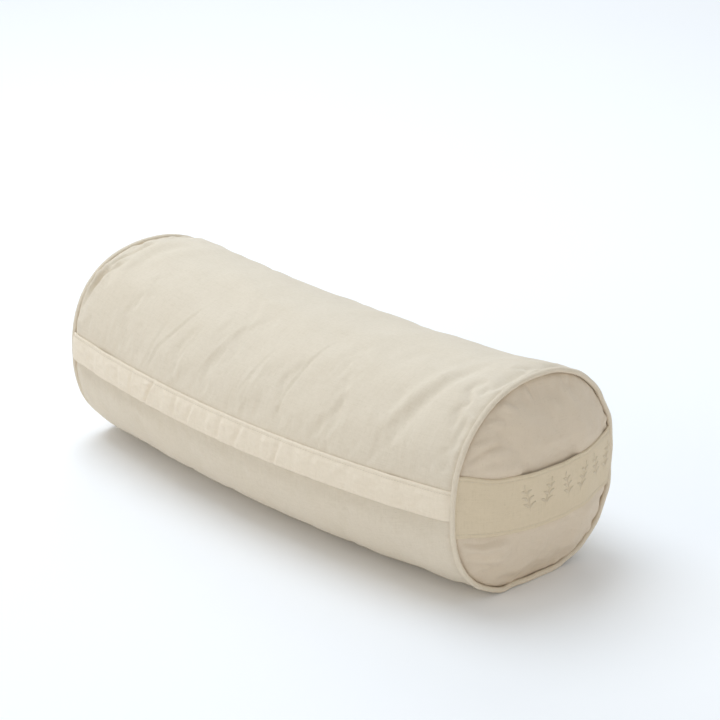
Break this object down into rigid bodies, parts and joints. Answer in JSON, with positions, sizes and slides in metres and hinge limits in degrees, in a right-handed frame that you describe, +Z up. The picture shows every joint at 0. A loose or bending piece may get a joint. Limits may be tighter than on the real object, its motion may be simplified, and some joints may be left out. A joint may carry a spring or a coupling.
{
  "type": "bolster pillow",
  "caption": "Round filled bolster in a removable canvas cover with piped end seams, a lapped side zip and a webbing handle across one end.",
  "frame": {"origin": "middle of the flat underside, halfway between the two end seams", "axes": "+X along the pillow towards the handle end, +Y away from the zip side, +Z up from the surface it lies on"},
  "size_m": [0.6564, 0.2693, 0.221],
  "materials": {
    "canvas": "undyed cotton canvas, plain weave",
    "piping": "canvas cut on the bias",
    "cord": "twisted cotton cord",
    "zip_tape": "woven tape",
    "zip_teeth": "moulded coil, matte",
    "zip_metal": "tumbled nickel",
    "placket": "doubled canvas, topstitched",
    "webbing": "doubled canvas band, topstitched",
    "label": "satin ribbon, blank",
    "liner": "fine cotton sheeting",
    "fill": "loose natural fill"
  },
  "bodies": {
    "cover": {"body_panel": "canvas", "front_end_panel": "canvas", "rear_end_panel": "canvas", "front_piping_sleeve": "piping", "rear_piping_sleeve": "piping", "front_piping_cord": "cord", "rear_piping_cord": "cord", "zip_tape_upper": "zip_tape", "zip_tape_lower": "zip_tape", "zip_teeth_upper": "zip_teeth", "zip_teeth_lower": "zip_teeth", "zip_top_stop": "zip_metal", "zip_bottom_stop": "zip_metal", "placket_end_front": "placket", "placket_end_rear": "placket", "handle_end_left": "webbing", "handle_end_right": "webbing", "care_label": "label", "liner_body": "liner", "liner_front_disc": "liner", "liner_rear_disc": "liner", "filling": "fill"},
    "placket": {"placket_strip": "placket"},
    "handle": {"handle_strap": "webbing"},
    "zip_slider": {"zip_slider": "zip_metal"},
    "zip_pull": {"zip_pull": "zip_metal"}
  },
  "joints": [
    {"name": "placket_flap", "type": "hinge", "parent": "cover", "child": "placket", "pos_m": [0, -0.1325, 0.1216], "axis": [-1, 0, 0], "range_deg": [0, 60], "deforming": ["placket_end_front", "placket_end_rear"]},
    {"name": "handle_lift", "type": "slide", "parent": "cover", "child": "handle", "axis": [1, 0, 0], "range_m": [0, 0.02], "deforming": ["handle_end_left", "handle_end_right"]},
    {"name": "zip_run", "type": "hinge", "parent": "cover", "child": "zip_slider", "pos_m": [0, 1.82021, 0.76277], "axis": [0, -0.3188, 0.9478], "range_deg": [-12.71, 0]},
    {"name": "pull_swing", "type": "hinge", "parent": "zip_slider", "child": "zip_pull", "pos_m": [0.228, -0.12058, 0.11003], "axis": [0.1012, -0.9904, 0.0942], "range_deg": [-75, 75]}
  ]
}
